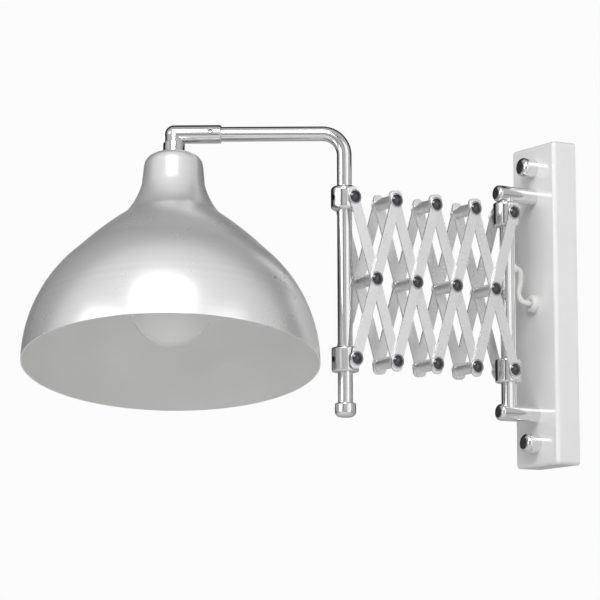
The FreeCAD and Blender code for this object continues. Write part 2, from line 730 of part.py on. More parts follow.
def make_collars():
    """Two collars on the wall rod and two on the pole, with their screws."""
    inner_head = f"{INNER_FACE} + bar_thickness + bar_gap / 2"
    wall_upper = at(y=rod_y, z=upper_z)
    wall_lower = at(y=rod_y, z=lower_z)
    lamp_upper = at(y=pole_y, z=upper_z)
    lamp_lower = at(y=pole_y, z=lower_z)
    make_collar("upper_wall_collar", -1, "crisp_round", wall_upper)
    make_collar("lower_wall_collar", -1, "crisp_round", wall_lower)
    make_collar("upper_lamp_collar", 1, "soft_round", lamp_upper, has_grub=True)
    make_collar("lower_lamp_collar", 1, "crisp_round", lamp_lower, has_grub=True)
    screws = (
        ("upper_wall_pivots", HEAD_FACE, True, at(y=wall_pivot_y, z=upper_z)),
        ("lower_wall_pivots", inner_head, False, at(y=wall_pivot_y, z=lower_z)),
        ("upper_lamp_pivots", inner_head, False, at(y=lamp_pivot_y, z=upper_z)),
        ("lower_lamp_pivots", HEAD_FACE, True, at(y=lamp_pivot_y, z=lower_z)),
    )
    for name, under_head, shoulder, place in screws:
        piece(screw_pair(name, under_head, shoulder), name, place)


# ---------------------------------------------------------------- the lattice

def make_bar(name, place, plays):
    """A flat bar with round ends and three holes; plays are its holes' gaps, top first."""
    body = new_body(name)
    outline = new_sketch(body, "YZ_Plane", f"{name}_outline")
    edge = "bar_width / 2"
    turn_height = "bar_half_span + bar_past_pivot - bar_width / 2"
    tip = "bar_half_span + bar_past_pivot"
    add_outline(outline, [
        (edge, f"-({turn_height})"),
        (edge, turn_height, edge, "left"),
        ("0", tip, edge, "left"),
        (f"-{edge}", turn_height),
        (f"-{edge}", f"-({turn_height})", edge, "left"),
        ("0", f"-({tip})", edge, "left"),
    ])
    for word, height, play in zip(("top", "middle", "bottom"), ("bar_half_span", "0", "-bar_half_span"), plays):
        add_circle(outline, word, f"rivet_diameter / 2 + {play}", up=height)
    pad(body, outline, "bar_thickness")
    piece(body, name, place)


def make_bar_pair(kind, index, face, middle_y, turn, plays):
    """The front and the rear bar of one leg of a cross."""
    front = size(face)
    rear = -front - size("bar_thickness")
    for word, x in (("front", front), ("rear", rear)):
        make_bar(f"{kind}_bar_{index}_{word}", at(x, middle_y, middle_z, turn), plays)


def rivet(name, height):
    """A through rivet along X with a domed head at each end."""
    face = HEAD_FACE
    dome = "(rivet_head * rivet_head / 4 + rivet_rise * rivet_rise) / 2 / rivet_rise"
    body = turned(name, [
        ("0", f"-({face}) - rivet_rise", dome, "left"),
        ("rivet_head / 2", f"-({face})"),
        ("rivet_diameter / 2", f"-({face})"),
        ("rivet_diameter / 2", face),
        ("rivet_head / 2", face, dome, "left"),
        ("0", f"{face} + rivet_rise"),
    ])
    body.Placement = at(z=height, turn=SIDEWAYS)
    return body


def spacer(name, height):
    """A tube round a rivet that keeps the front and the rear lattice apart."""
    length = f"2 * ({INNER_FACE}) - bar_gap"
    body = ring(name, "spacer_diameter / 2", "rivet_diameter / 2 + fit", length)
    body.Placement = at(-size(length) / 2, 0, height, SIDEWAYS)
    return body


def make_cross(index):
    """One X of the lattice: a falling and a rising leg, and the falling leg's rivets."""
    first = index == 1
    last = index == CROSSES
    middle_y = wall_pivot_y - (index - 0.5) * pitch
    falling = FreeCAD.Rotation(X, -size("rest_lean"))
    rising = FreeCAD.Rotation(X, size("rest_lean"))
    make_bar_pair("falling", index, OUTER_FACE, middle_y, falling,
                  ("fit" if first else "0", "0", "fit" if last else "0"))
    make_bar_pair("rising", index, INNER_FACE, middle_y, rising,
                  ("fit", "fit", "fit" if first else "open_fit"))
    span = size("bar_half_span")
    heights = {"middle": 0.0}
    if not first:
        heights["top"] = span
    if not last:
        heights["bottom"] = -span
    place = at(y=middle_y, z=middle_z, turn=falling)
    rivets = [rivet(f"rivet_{index}_{word}", height) for word, height in heights.items()]
    piece(group(f"rivet_group_{index}", rivets), f"rivets_{index}", place)
    spacers = [spacer(f"spacer_{index}_{word}", height) for word, height in heights.items()]
    piece(group(f"spacer_group_{index}", spacers), f"spacers_{index}", place)


# ---------------------------------------------------------------- pole and arm

def make_arm_tube():
    """One tube: the pole, its bend and the level run."""
    bottom = upper_z - size("pole_drop")
    run_end = "arm_end_gap - arm_reach"
    body = new_body("arm_tube")
    path = new_sketch(body, "YZ_Plane", "arm_path")
    add_outline(path, [
        ("0", f"{bottom}"),
        ("0", f"{level_z} - bend_radius", "bend_radius", "left"),
        ("-bend_radius", f"{level_z}"),
        (run_end, f"{level_z}"),
    ], closed=False)
    section = new_sketch(body, "XY_Plane", "arm_section", bottom)
    add_circle(section, "outside", "rod_diameter / 2")
    add_circle(section, "inside", "rod_diameter / 2 - tube_wall")
    sweep = body.newObject("PartDesign::AdditivePipe", "arm_sweep")
    sweep.Profile = section
    sweep.Spine = (path, ["Edge1", "Edge2", "Edge3"])
    doc.recompute()
    piece(body, "arm_tube", arm_place)


def make_end_cap():
    """The rounded cap on the pole's lower end."""
    body = turned("end_cap", [
        ("0", "-cap_height"),
        ("cap_diameter / 2 - cap_round", "-cap_height", "cap_round", "left"),
        ("cap_diameter / 2", "cap_round - cap_height"),
        ("cap_diameter / 2", "-cap_lip_round", "cap_lip_round", "left"),
        ("cap_diameter / 2 - cap_lip_round", "0"),
        ("rod_diameter / 2", "0"),
        ("rod_diameter / 2", "-cap_depth"),
        ("0", "-cap_depth"),
    ])
    piece(body, "end_cap", arm_place.multiply(at(z=upper_z - size("pole_drop - cap_depth"))))


# ---------------------------------------------------------------- the head

def make_swivel_elbow():
    """The sleeve on the arm's level run, its round corner and its short foot."""
    outer = "elbow_diameter / 2"
    sleeve = turned("elbow_sleeve", [
        ("0", f"-{outer}", outer, "left"),
        (outer, "0"),
        (outer, "elbow_length - elbow_round", "elbow_round", "left"),
        (f"{outer} - elbow_round", "elbow_length"),
        ("0", "elbow_length"),
    ])
    sleeve.Placement = at(turn=TO_WALL)
    foot = cylinder("elbow_foot", "elbow_foot / 2", "elbow_foot_drop", at(z=-size("elbow_foot_drop")))
    blank = fuse("elbow_blank", [sleeve, foot])
    bore = cylinder("elbow_bore", "rod_diameter / 2 + fit", "elbow_length",
                    at(y=size("elbow_bore_end"), turn=TO_WALL))
    down = cylinder("elbow_thread", "nipple_diameter / 2", "elbow_diameter",
                    at(z=-size("elbow_diameter + nipple_top - fit")))
    passage = cylinder("elbow_passage", "nipple_bore / 2", "elbow_bore_end + nipple_bore",
                       at(y=-size("nipple_bore") / 2, turn=TO_WALL))
    screw_hole = cylinder("elbow_screw_hole", "grub_diameter / 2", "elbow_diameter",
                          at(y=size("elbow_screw"), turn=SIDEWAYS))
    piece(cut("elbow_cut", blank, [bore, down, passage, screw_hole]), "swivel_elbow", head_place)
    grub = make_grub_screw("elbow_grub", "elbow_diameter / 2 - rod_diameter / 2 - fit + grub_proud")
    seat = at(x=size("rod_diameter / 2 + fit"), y=size("elbow_screw"), turn=SIDEWAYS)
    piece(grub, "elbow_set_screw", head_place.multiply(seat))


def make_coupling():
    """The coupling ring, the threaded nipple through it and the nipple's lock nut."""
    outer = "coupling_diameter / 2"
    coupling = turned("coupling_ring", [
        ("nipple_diameter / 2", "0"),
        (f"{outer} - coupling_round", "0", "coupling_round", "left"),
        (outer, "coupling_round"),
        (outer, "coupling_height - coupling_round", "coupling_round", "left"),
        (f"{outer} - coupling_round", "coupling_height"),
        ("nipple_diameter / 2", "coupling_height"),
    ])
    piece(coupling, "coupling_ring", shade_place)
    foot = "socket_top + socket_cap_wall"
    length = f"elbow_foot_drop + coupling_height - nipple_top + {foot}"
    nipple = ring("threaded_nipple", "nipple_diameter / 2", "nipple_bore / 2", length)
    piece(nipple, "threaded_nipple", shade_place.multiply(at(z=-size(foot))))
    nut_place = at(z=-size("shade_sheet + lock_nut_height"))
    block = hexagon("lock_nut_blank", "lock_nut_flats", "lock_nut_height", nut_place)
    bore = cylinder("lock_nut_bore", "nipple_diameter / 2", "lock_nut_height", nut_place)
    piece(cut("lock_nut_cut", block, [bore]), "lock_nut", shade_place)


def make_shade():
    """The spun shade: shoulder, neck, hollow flare, crease, slope and dome."""
    dome_top_radius = "rim_radius - dome_curve * (1 - cos(dome_turn))"
    dome_top = "dome_curve * sin(dome_turn) - shade_height"
    body = turned("shade", with_wall([
        ("rim_radius", "-shade_height", "dome_curve", "left"),
        (dome_top_radius, dome_top, "cone_curve", "left"),
        ("crease_radius", "-crease_depth", "flare_curve", "right"),
        ("flare_start_radius", "-flare_start"),
        ("neck_radius", "-neck_round", "neck_round", "left"),
        ("neck_radius - neck_round", "0"),
        ("nipple_diameter / 2", "0"),
    ], "shade_sheet"))
    piece(body, "shade", shade_place)


def make_lamp_socket():
    """The lamp socket: a metal cap and the insulating body inside it."""
    wall = "socket_cap_wall"
    cap = turned("socket_cap", [
        ("nipple_diameter / 2", f"-{wall}"),
        (f"socket_radius - {wall}", f"-{wall}"),
        (f"socket_radius - {wall}", "-socket_cap_height"),
        ("socket_radius", "-socket_cap_height"),
        ("socket_radius", "0"),
        ("nipple_diameter / 2", "0"),
    ])
    place = shade_place.multiply(at(z=-size("socket_top")))
    piece(cap, "socket_cap", place)
    inside = f"socket_radius - {wall}"
    body = turned("socket_body", [
        ("0", "-socket_floor"),
        ("socket_throat", "-socket_floor"),
        ("socket_throat", "-socket_length"),
        ("socket_radius", "-socket_length"),
        ("socket_radius", "-socket_cap_height"),
        (inside, "-socket_cap_height"),
        (inside, "-socket_cap_wall"),
        ("0", "-socket_cap_wall"),
    ])
    piece(body, "socket_body", place)


def make_bulb():
    """The bulb: a screw cap with its foot contact, and the glass."""
    floor = "socket_top + socket_floor"
    cap_top = f"{floor} + bulb_contact_height"
    cap_end = f"{cap_top} + bulb_cap_length"
    cap = turned("bulb_cap", [
        ("0", f"-({cap_end})"),
        ("bulb_cap_radius", f"-({cap_end})"),
        ("bulb_cap_radius", f"-({cap_top})"),
        ("bulb_contact_radius", f"-({cap_top})"),
        ("bulb_contact_radius", f"-({floor})"),
        ("0", f"-({floor})"),
    ])
    piece(cap, "bulb_cap", shade_place)
    rise = ("sqrt((bulb_radius + bulb_sweep) * (bulb_radius + bulb_sweep)"
            " - (bulb_neck_radius + bulb_sweep) * (bulb_neck_radius + bulb_sweep))")
    out = "(bulb_neck_radius + bulb_sweep) / (bulb_radius + bulb_sweep)"
    up = f"{rise} / (bulb_radius + bulb_sweep)"
    glass = turned("bulb_glass", with_wall([
        ("0", "-bulb_depth - bulb_radius", "bulb_radius", "left"),
        ("bulb_radius", "-bulb_depth", "bulb_radius", "left"),
        (f"{out} * bulb_radius", f"{up} * bulb_radius - bulb_depth", "bulb_sweep", "right"),
        ("bulb_neck_radius", f"{rise} - bulb_depth"),
        ("bulb_neck_radius", f"-({cap_end})"),
    ], "bulb_glass_wall"))
    piece(glass, "bulb_glass", shade_place)


make_wall_plate()
make_mounting_strap()
make_strap_studs()
make_cover_nuts()
make_post("upper_post", 1)
make_post("lower_post", -1)
make_post_nuts()
make_wall_rod()
make_cord_grommet()
make_inlet_bush()
make_terminal_block()
make_earth_screw()
make_lead()
make_collars()
for cross in range(1, CROSSES + 1):
    make_cross(cross)
make_arm_tube()
make_end_cap()
make_swivel_elbow()
make_coupling()
make_shade()
make_lamp_socket()
make_bulb()

doc.recompute()
for item in doc.Objects:
    if "Invalid" in item.State or "Error" in item.State:
        raise ValueError(f"{item.Label}: {item.State}")
for item in pieces:
    if item.Shape.isNull() or not item.Shape.isValid():
        raise ValueError(f"{item.Label}: the shape is null or not valid")

os.makedirs("parts", exist_ok=True)
for item in pieces:
    item.Shape.exportStep(f"parts/{item.Label}.step")
print(len(pieces), "sub-parts")
print("pitch", round(pitch, 3), "upper", round(upper_z, 3), "lower", round(lower_z, 3), "pole y", round(pole_y, 3))
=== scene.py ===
"""Accordion wall lamp with a dome shade: looks, light and camera."""
import json
import math

import bmesh
import bpy
from bpy.props import FloatProperty, FloatVectorProperty, IntProperty, PointerProperty
from mathutils import Matrix, Vector


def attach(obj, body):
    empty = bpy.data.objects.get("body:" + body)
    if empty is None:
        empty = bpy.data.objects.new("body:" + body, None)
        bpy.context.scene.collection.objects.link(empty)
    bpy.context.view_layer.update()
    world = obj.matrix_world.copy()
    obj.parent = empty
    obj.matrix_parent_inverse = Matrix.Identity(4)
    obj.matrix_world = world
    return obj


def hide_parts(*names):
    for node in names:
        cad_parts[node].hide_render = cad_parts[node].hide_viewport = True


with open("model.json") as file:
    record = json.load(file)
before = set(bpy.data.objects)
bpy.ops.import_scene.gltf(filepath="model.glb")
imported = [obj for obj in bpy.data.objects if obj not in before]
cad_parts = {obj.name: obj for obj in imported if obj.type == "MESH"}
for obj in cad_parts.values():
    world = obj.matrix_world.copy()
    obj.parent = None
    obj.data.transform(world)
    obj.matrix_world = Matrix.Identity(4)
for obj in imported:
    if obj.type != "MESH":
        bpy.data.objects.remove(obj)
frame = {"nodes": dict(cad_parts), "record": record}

bl_info = {
    "name": "Accordion Wall Lamp",
    "version": (1, 0, 0),
    "blender": (4, 5, 0),
    "location": "3D View > Sidebar > Wall Lamp",
    "description": "Dresses the scissor arm wall lamp and sets its light and camera",
    "category": "Object",
}

NODES = frame["nodes"]
BODY_OF = {n: b for b, names in frame["record"]["behaviour"]["bodies"].items() for n in names}
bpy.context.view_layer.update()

# The arm as the lamp hangs at rest: the shade's axis leaves the arm at TILT_POINT along HANG.
TILT_POINT = Vector((-0.0721, -0.32602, 0.1275))
HANG = Vector((0.183, -0.1125, -0.9767)).normalized()
TILT_AXIS = Vector((0.524, 0.8517, 0.0)).normalized()
SHADE_DROP = 0.0201
SHADE_PLACE = Matrix.Translation(TILT_POINT + HANG * SHADE_DROP) @ Matrix(
    (TILT_AXIS.cross(-HANG), TILT_AXIS * -1, -HANG)).transposed().to_4x4()

# The shade's outline, as radius and height below the neck's top.
DOME_CURVE, DOME_TURN, SLOPE_CURVE = 0.117, math.radians(47.5), 0.32
CREASE, FLARE, FLARE_CURVE = (0.0405, -0.054), (0.0255, -0.025), 0.07
SHOULDER, CROWN, SHOULDER_CURVE = (0.024, -0.009), (0.015, 0.0), 0.009
NECK_HOLE = (0.005, 0.0)
OUTLINE_STEP = 0.0035
SHARP_ANGLE = math.radians(35)

# A rivet's end lies at least this far from the lattice's middle plane. A shorter one gets no washer.
RIVET_END = 0.012
WELD = 1e-6

RELIEF_DEPTH = 0.0002
COAT_ROUGHNESS = 0.08

# The camera aims at the lamp's middle; each light's place is measured from there.
MIDDLE = Vector((0.0, -0.2509, -0.0113))
LENS, SENSOR, VIEW_END = 178.8, 36.0, 50.0
LIGHTS = (("Key", (1.1, -0.9, 1.15), (0.9, 0.9), 17.0),
          ("Fill", (0.2, -1.9, 0.35), (1.2, 1.2), 9.0),
          ("Side", (1.7, 0.3, 0.1), (1.2, 2.0), 6.5),
          ("Under", (0.6, -0.9, -1.3), (1.3, 1.3), 6.0))

# The room as the metal mirrors it: greys from behind the lamp (0) to the photograph's side (1).
ROOM_WAY = (0.849, -0.509, -0.138)
ROOM_STRENGTH = 0.55
ROOM_BANDS = ((0.0, 0.95), (0.012, 0.95), (0.03, 0.03), (0.30, 0.04), (0.40, 0.75), (0.62, 1.0),
              (0.80, 0.85), (0.86, 0.22), (0.93, 0.30), (0.97, 1.0))
FLOOR_HEIGHT, FLOOR_HALF, FLOOR_GREY, FLOOR_LIFT = -0.62, 6.0, 0.9, 0.5


# ---------------------------------------------------------------- settings

class LampShadeSettings(bpy.types.PropertyGroup):
    metal: FloatVectorProperty(
        name="Outer metal", description="Colour of the spun metal outside", subtype="COLOR",
        default=(0.90, 0.90, 0.90), min=0.0, max=1.0)
    enamel: FloatVectorProperty(
        name="Inner enamel", description="Colour of the enamel inside", subtype="COLOR",
        default=(0.84, 0.84, 0.83), min=0.0, max=1.0)
    rim: FloatProperty(
        name="Rim radius", description="Radius of the open rim", default=0.118, unit="LENGTH")
    height: FloatProperty(
        name="Height", description="Neck top to rim", default=0.1765, unit="LENGTH")
    sheet: FloatProperty(
        name="Sheet", description="Thickness of the metal", default=0.001, unit="LENGTH")
    sides: IntProperty(
        name="Sides", description="Faces round the shade", default=192, min=32, max=256)
    lathe_lines: FloatProperty(
        name="Spinning lines", description="Depth of the fine lines left by spinning", default=0.02,
        min=0.0, max=1.0)


class LampMetalSettings(bpy.types.PropertyGroup):
    nickel: FloatVectorProperty(
        name="Nickel", description="Colour of the polished tubes and fittings", subtype="COLOR",
        default=(0.83, 0.83, 0.83), min=0.0, max=1.0)
    bar: FloatVectorProperty(
        name="Bars", description="Colour of the flat scissor bars", subtype="COLOR",
        default=(0.90, 0.90, 0.90), min=0.0, max=1.0)
    # Painted dark reflection and shade: the near-black colour of the rivet heads and set screws stands in
    # for the dark that their polished heads mirror.
    rivet: FloatVectorProperty(
        name="Rivets", description="Colour of the dark rivet heads", subtype="COLOR",
        default=(0.10, 0.10, 0.105), min=0.0, max=1.0)
    washer: FloatProperty(
        name="Washer", description="Diameter of the washer under each rivet head", default=0.0116,
        unit="LENGTH", min=0.0)
    washer_thickness: FloatProperty(
        name="Washer thickness", description="Thickness of each washer", default=0.00036,
        unit="LENGTH", min=0.0)
    head_rise: FloatProperty(
        name="Rivet head", description="Height of a rivet head over the bar", default=0.00235,
        unit="LENGTH", min=0.0)
    sides: IntProperty(
        name="Round faces", description="Faces round each turned detail", default=40, min=16, max=96)


class LampPlateSettings(bpy.types.PropertyGroup):
    enamel: FloatVectorProperty(
        name="Plate enamel", description="Colour of the wall plate", subtype="COLOR",
        default=(0.88, 0.88, 0.88), min=0.0, max=1.0)
    lead: FloatVectorProperty(
        name="Lead", description="Colour of the lead's sheath", subtype="COLOR",
        default=(0.80, 0.80, 0.79), min=0.0, max=1.0)


class LampStageSettings(bpy.types.PropertyGroup):
    azimuth: FloatProperty(
        name="Azimuth", description="Direction of the camera round the lamp, in degrees",
        default=59.05)
    elevation: FloatProperty(
        name="Elevation", description="Height of the camera above the horizon, in degrees",
        default=-7.93)
    roll: FloatProperty(name="Roll", description="Turn of the picture, in degrees", default=-0.17)
    distance: FloatProperty(
        name="Distance", description="Camera to the middle of the lamp", default=2.371,
        unit="LENGTH", min=0.5)
    backdrop: FloatProperty(
        name="Backdrop", description="Brightness of the backdrop that the camera sees",
        default=0.97, min=0.0, max=1.0)


# ---------------------------------------------------------------- shader helpers

def node_group(name, sockets_in, sockets_out):
    tree = bpy.data.node_groups.new(name, "ShaderNodeTree")
    for label, kind, value in sockets_in:
        made = tree.interface.new_socket(label, in_out="INPUT", socket_type=kind)
        made.default_value = value
    for label, kind in sockets_out:
        tree.interface.new_socket(label, in_out="OUTPUT", socket_type=kind)
    return tree, tree.nodes.new("NodeGroupInput"), tree.nodes.new("NodeGroupOutput")


def add(tree, kind, **values):
    made = tree.nodes.new(kind)
    for key, value in values.items():
        setattr(made, key, value)
    return made


def tinted(tree, colour, factor, low, high):
    """Colour multiplied by a grey that runs from low to high with the factor."""
    grey = add(tree, "ShaderNodeMapRange")
    grey.inputs["To Min"].default_value = low
    grey.inputs["To Max"].default_value = high
    tree.links.new(factor, grey.inputs["Value"])
    mix = add(tree, "ShaderNodeMix", data_type="RGBA", blend_type="MULTIPLY")
    mix.inputs["Factor"].default_value = 1.0
    tree.links.new(colour, mix.inputs["A"])
    tree.links.new(grey.outputs["Result"], mix.inputs["B"])
    return mix.outputs["Result"]


def build_handled_metal():
    """Polish marks and faint smudges: a slightly uneven colour, roughness and height."""
    tree, given, out = node_group(
        "Handled metal",
        [("Color", "NodeSocketColor", (0.8, 0.8, 0.8, 1.0)), ("Roughness", "NodeSocketFloat", 0.2),
         ("Unevenness", "NodeSocketFloat", 0.1), ("Grain", "NodeSocketVector", (300.0, 300.0, 300.0))],
        [("Color", "NodeSocketColor"), ("Roughness", "NodeSocketFloat"), ("Height", "NodeSocketFloat")])
    link = tree.links.new
    place = add(tree, "ShaderNodeTexCoord")
    smudge = add(tree, "ShaderNodeTexNoise")
    smudge.inputs["Scale"].default_value = 45.0
    smudge.inputs["Detail"].default_value = 4.0
    link(place.outputs["Object"], smudge.inputs["Vector"])
    scaled = add(tree, "ShaderNodeVectorMath", operation="MULTIPLY")
    link(place.outputs["Object"], scaled.inputs[0])
    link(given.outputs["Grain"], scaled.inputs[1])
    grain = add(tree, "ShaderNodeTexNoise")
    grain.inputs["Scale"].default_value = 3.0
    grain.inputs["Detail"].default_value = 1.0
    link(scaled.outputs["Vector"], grain.inputs["Vector"])
    spread = add(tree, "ShaderNodeMath", operation="MULTIPLY_ADD")
    link(smudge.outputs["Fac"], spread.inputs[0])
    link(given.outputs["Unevenness"], spread.inputs[1])
    link(given.outputs["Roughness"], spread.inputs[2])
    link(spread.outputs["Value"], out.inputs["Roughness"])
    link(tinted(tree, given.outputs["Color"], smudge.outputs["Fac"], 0.94, 1.02), out.inputs["Color"])
    link(grain.outputs["Fac"], out.inputs["Height"])
    return tree


def build_orange_peel():
    """The faint waviness and dust of sprayed enamel or moulded plastic."""
    tree, given, out = node_group(
        "Orange peel",
        [("Color", "NodeSocketColor", (0.9, 0.9, 0.9, 1.0)), ("Roughness", "NodeSocketFloat", 0.2),
         ("Scale", "NodeSocketFloat", 350.0)],
        [("Color", "NodeSocketColor"), ("Roughness", "NodeSocketFloat"), ("Height", "NodeSocketFloat")])
    link = tree.links.new
    place = add(tree, "ShaderNodeTexCoord")
    peel = add(tree, "ShaderNodeTexNoise")
    peel.inputs["Detail"].default_value = 2.0
    link(place.outputs["Object"], peel.inputs["Vector"])
    link(given.outputs["Scale"], peel.inputs["Scale"])
    dust = add(tree, "ShaderNodeTexNoise")
    dust.inputs["Scale"].default_value = 30.0
    dust.inputs["Detail"].default_value = 5.0
    link(place.outputs["Object"], dust.inputs["Vector"])
    link(tinted(tree, given.outputs["Color"], dust.outputs["Fac"], 0.955, 1.02), out.inputs["Color"])
    rough = add(tree, "ShaderNodeMath", operation="MULTIPLY_ADD")
    link(dust.outputs["Fac"], rough.inputs[0])
    rough.inputs[1].default_value = 0.10
    link(given.outputs["Roughness"], rough.inputs[2])
    link(rough.outputs["Value"], out.inputs["Roughness"])
    link(peel.outputs["Fac"], out.inputs["Height"])
    return tree


def build_spun_lines():
    """Fine rings round the shade's axis, as spinning leaves them."""
    tree, given, out = node_group(
        "Spun lines",
        [("Color", "NodeSocketColor", (0.9, 0.9, 0.9, 1.0)), ("Roughness", "NodeSocketFloat", 0.2),
         ("Lines", "NodeSocketFloat", 130.0)],
        [("Color", "NodeSocketColor"), ("Roughness", "NodeSocketFloat"), ("Height", "NodeSocketFloat")])
    link = tree.links.new
    place = add(tree, "ShaderNodeTexCoord")
    apart = add(tree, "ShaderNodeVectorMath", operation="DOT_PRODUCT")
    link(place.outputs["Object"], apart.inputs[0])
    apart.inputs[1].default_value = HANG
    down = add(tree, "ShaderNodeMath", operation="MULTIPLY")
    link(apart.outputs["Value"], down.inputs[0])
    link(given.outputs["Lines"], down.inputs[1])
    rings = add(tree, "ShaderNodeTexNoise", noise_dimensions="1D")
    rings.inputs["Scale"].default_value = 1.0
    rings.inputs["Detail"].default_value = 1.0
    link(down.outputs["Value"], rings.inputs["W"])
    smudge = add(tree, "ShaderNodeTexNoise")
    smudge.inputs["Scale"].default_value = 22.0
    smudge.inputs["Detail"].default_value = 5.0
    link(place.outputs["Object"], smudge.inputs["Vector"])
    rough = add(tree, "ShaderNodeMath", operation="MULTIPLY_ADD")
    link(smudge.outputs["Fac"], rough.inputs[0])
    rough.inputs[1].default_value = 0.09
    link(given.outputs["Roughness"], rough.inputs[2])
    link(rough.outputs["Value"], out.inputs["Roughness"])
    link(tinted(tree, given.outputs["Color"], rings.outputs["Fac"], 0.95, 1.02), out.inputs["Color"])
    link(rings.outputs["Fac"], out.inputs["Height"])
    return tree


def group_of(name):
    builders = {"Handled metal": build_handled_metal, "Orange peel": build_orange_peel,
                "Spun lines": build_spun_lines}
    return bpy.data.node_groups.get(name) or builders[name]()


def finish_of(name, group, colour, roughness, metallic=0.0, bump=0.0, coat=0.0, **inputs):
    """A material whose colour, roughness and relief come from a shared group."""
    found = bpy.data.materials.get(name)
    if found:
        return found
    material = bpy.data.materials.new(name)
    material.use_nodes = True
    tree = material.node_tree
    shader = tree.nodes["Principled BSDF"]
    effect = add(tree, "ShaderNodeGroup", node_tree=group_of(group), label=group)
    effect.inputs["Color"].default_value = (*colour, 1.0)
    effect.inputs["Roughness"].default_value = roughness
    for key, value in inputs.items():
        effect.inputs[key].default_value = value
    shader.inputs["Metallic"].default_value = metallic
    shader.inputs["Coat Weight"].default_value = coat
    shader.inputs["Coat Roughness"].default_value = COAT_ROUGHNESS
    tree.links.new(effect.outputs["Color"], shader.inputs["Base Color"])
    tree.links.new(effect.outputs["Roughness"], shader.inputs["Roughness"])
    relief = add(tree, "ShaderNodeBump")
    relief.inputs["Strength"].default_value = bump
    relief.inputs["Distance"].default_value = RELIEF_DEPTH
    tree.links.new(effect.outputs["Height"], relief.inputs["Height"])
    tree.links.new(relief.outputs["Normal"], shader.inputs["Normal"])
    material.diffuse_color = (*colour, 1.0)
    return material


def polished_nickel():
    return finish_of("Polished nickel", "Handled metal", bpy.context.scene.lamp_metal.nickel[:], 0.10,
                     metallic=1.0, bump=0.03, Unevenness=0.07, Grain=(220.0, 220.0, 40.0))


def bright_bar():
    return finish_of("Bright bar steel", "Handled metal", bpy.context.scene.lamp_metal.bar[:], 0.22,
                     metallic=0.65, bump=0.05, Unevenness=0.12, Grain=(40.0, 160.0, 160.0))


# Painted dark reflection and shade: a near-black base colour for the rivet heads, pivots and set screws.
def rivet_painted_dark_reflection():
    return finish_of("Rivet steel, painted dark reflection", "Handled metal", bpy.context.scene.lamp_metal.rivet[:], 0.16,
                     metallic=0.9, bump=0.05, Unevenness=0.10)


def zinc_steel():
    return finish_of("Zinc plated steel", "Handled metal", (0.62, 0.63, 0.66), 0.34,
                     metallic=1.0, bump=0.15, Unevenness=0.18)


def brass_cap():
    return finish_of("Brass cap", "Handled metal", (0.72, 0.60, 0.36), 0.28,
                     metallic=1.0, bump=0.08, Unevenness=0.12)


def plate_enamel():
    return finish_of("Plate enamel", "Orange peel", bpy.context.scene.lamp_plate.enamel[:], 0.16,
                     bump=0.12, coat=0.55, Scale=420.0)


def bush_plastic():
    return finish_of("Pale bush plastic", "Orange peel", (0.84, 0.84, 0.83), 0.26, bump=0.10, Scale=500.0)


def socket_porcelain():
    return finish_of("Glazed porcelain", "Orange peel", (0.88, 0.87, 0.84), 0.12, bump=0.06, coat=0.5)


def lead_sheath():
    return finish_of("Lead sheath", "Orange peel", bpy.context.scene.lamp_plate.lead[:], 0.42,
                     bump=0.20, Scale=900.0)


def opal_glass():
    made = finish_of("Opal glass", "Orange peel", (0.97, 0.97, 0.96), 0.06, bump=0.01, coat=0.6,
                     Scale=60.0)
    shader = made.node_tree.nodes["Principled BSDF"]
    shader.inputs["Subsurface Weight"].default_value = 0.25
    shader.inputs["Subsurface Radius"].default_value = (0.01, 0.01, 0.01)
    shader.inputs["Subsurface Scale"].default_value = 0.5
    return made


def spun_outside():
    settings = bpy.context.scene.lamp_shade
    return finish_of("Spun satin nickel", "Spun lines", settings.metal[:], 0.24, metallic=0.60,
                     bump=settings.lathe_lines, Lines=260.0)


def enamel_inside():
    return finish_of("White inner enamel", "Orange peel", bpy.context.scene.lamp_shade.enamel[:], 0.30,
                     bump=0.10, coat=0.25, Scale=320.0)


def dress(node, material):
    """Gives a carried-over node its material."""
    mesh = NODES[node].data
    mesh.materials.clear()
    mesh.materials.append(material)


# ---------------------------------------------------------------- mesh helpers

def new_piece(name, bm, body, materials, smooth=True):
    """Turns a bmesh, already in place, into a piece that rides a body."""
    mesh = bpy.data.meshes.new(name)
    bm.to_mesh(mesh)
    bm.free()
    for material in materials:
        mesh.materials.append(material)
    for face in mesh.polygons:
        face.use_smooth = smooth
    piece = bpy.data.objects.new(name, mesh)
    bpy.context.scene.collection.objects.link(piece)
    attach(piece, body)
    return piece


def arc(start, end, radius, left):
    """Points from start up to, but not with, end, on an arc that bends to the left or the right."""
    chord = Vector(end) - Vector(start)
    across = Vector((-chord.y, chord.x)).normalized() * (1 if left else -1)
    centre = (Vector(start) + Vector(end)) / 2 + across * math.sqrt(radius ** 2 - chord.length_squared / 4)
    first, last = (math.atan2(p[1] - centre.y, p[0] - centre.x) for p in (start, end))
    sweep = (last - first + math.pi) % (2 * math.pi) - math.pi
    steps = max(4, round(abs(sweep) * radius / OUTLINE_STEP))
    return [(centre.x + radius * math.cos(first + sweep * k / steps),
             centre.y + radius * math.sin(first + sweep * k / steps)) for k in range(steps)]


def shade_outline(settings):
    """The shade's outer wall from the rim up: dome, slope, hollow flare, neck, shoulder and top."""
    top = (settings.rim - DOME_CURVE * (1 - math.cos(DOME_TURN)),
           DOME_CURVE * math.sin(DOME_TURN) - settings.height)
    points = arc((settings.rim, -settings.height), top, DOME_CURVE, True)
    points += arc(top, CREASE, SLOPE_CURVE, True)
    points += arc(CREASE, FLARE, FLARE_CURVE, False)
    points += [FLARE]
    points += arc(SHOULDER, CROWN, SHOULDER_CURVE, True)
    return points + [CROWN, NECK_HOLE]


